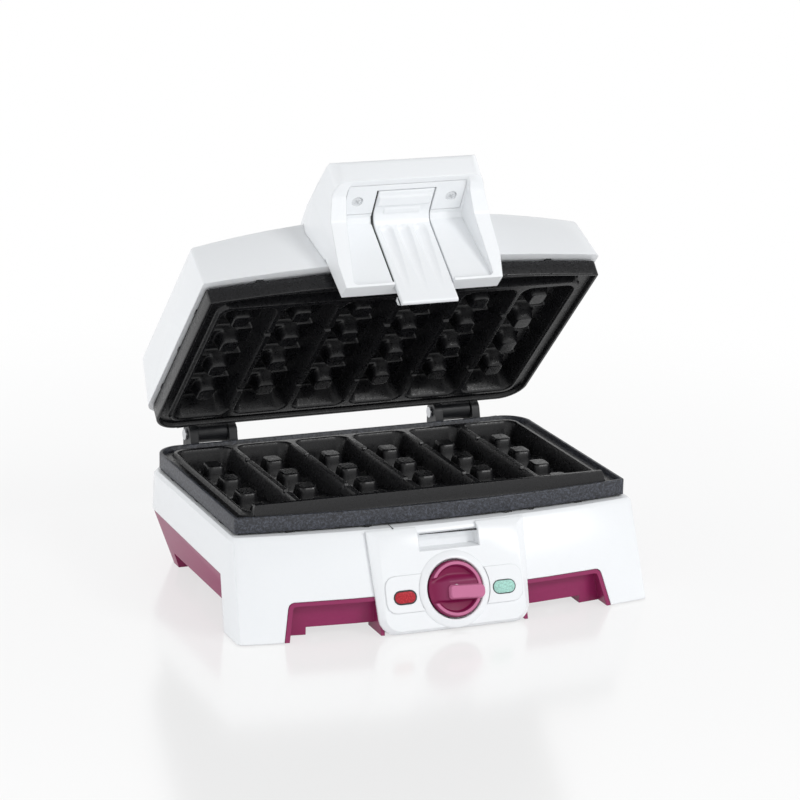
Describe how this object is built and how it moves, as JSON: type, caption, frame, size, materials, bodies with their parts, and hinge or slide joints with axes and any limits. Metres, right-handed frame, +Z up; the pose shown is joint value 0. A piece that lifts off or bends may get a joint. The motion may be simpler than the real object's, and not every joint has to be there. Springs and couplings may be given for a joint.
{
  "type": "waffle stick maker",
  "caption": "Countertop maker for waffle sticks: a hinged lid, cast non-stick plates with long pegged cavities, a sloped control panel with a knob, and a handle with a latch lever.",
  "frame": {"origin": "middle of the bottom of the bounding box, on the surface the maker stands on, with its lid open as in the picture", "axes": "+X to the right of someone who faces the control panel, +Y towards the hinges at the back, +Z up"},
  "size_m": [0.296, 0.2566, 0.2959],
  "materials": {
    "white_plastic": "glossy moulded white plastic",
    "purple_plastic": "satin berry purple plastic",
    "non_stick": "cast aluminium with a charcoal non-stick coating",
    "black_plastic": "matt black heat-resistant plastic",
    "rubber": "matt",
    "steel": "bright zinc-plated steel",
    "aluminium": "bright sheet",
    "red_lens": "glossy translucent red",
    "green_lens": "glossy translucent mint green",
    "ceramic": "matt insulating moulding"
  },
  "bodies": {
    "base": {"base_housing": "white_plastic", "chassis": "purple_plastic", "control_panel": "white_plastic", "lower_plate": "non_stick", "lower_heating_element": "steel", "lower_reflector": "aluminium", "thermostat": "ceramic", "red_lamp_lens": "red_lens", "green_lamp_lens": "green_lens", "red_lamp_body": "ceramic", "green_lamp_body": "ceramic", "cord_inlet": "black_plastic", "terminal_block": "ceramic", "left_hinge_bracket": "black_plastic", "right_hinge_bracket": "black_plastic", "left_hinge_pin": "steel", "right_hinge_pin": "steel", "foot_pad_front_left": "rubber", "foot_pad_front_right": "rubber", "foot_pad_back_left": "rubber", "foot_pad_back_right": "rubber", "base_screw_1": "steel", "base_screw_2": "steel", "base_screw_3": "steel", "base_screw_4": "steel"},
    "dial": {"knob": "purple_plastic", "thermostat_shaft": "steel"},
    "lid": {"lid_shell": "white_plastic", "upper_plate": "non_stick", "upper_heating_element": "steel", "upper_reflector": "aluminium", "left_hinge_arm": "black_plastic", "right_hinge_arm": "black_plastic", "handle": "white_plastic", "lever_cover": "white_plastic", "left_cover_screw": "steel", "right_cover_screw": "steel", "lever_pin": "steel", "lever_spring": "steel"},
    "lever": {"release_lever": "white_plastic"}
  },
  "joints": [
    {"name": "lid_hinge", "type": "hinge", "parent": "base", "child": "lid", "pos_m": [0, 0.10812, 0.0807], "axis": [-1, 0, 0], "range_deg": [-44, 46]},
    {"name": "knob_turn", "type": "hinge", "parent": "base", "child": "dial", "pos_m": [0, -0.1139, 0.02526], "axis": [0, -0.9397, 0.342], "range_deg": [-90, 180]},
    {"name": "release_lever_swing", "type": "hinge", "parent": "lid", "child": "lever", "pos_m": [0, -0.00944, 0.24817], "axis": [-1, 0, 0], "range_deg": [0, 5], "stiffness_Nm_per_rad": 0.6, "springref_deg": -8.59, "deforming": ["lever_spring"]}
  ]
}
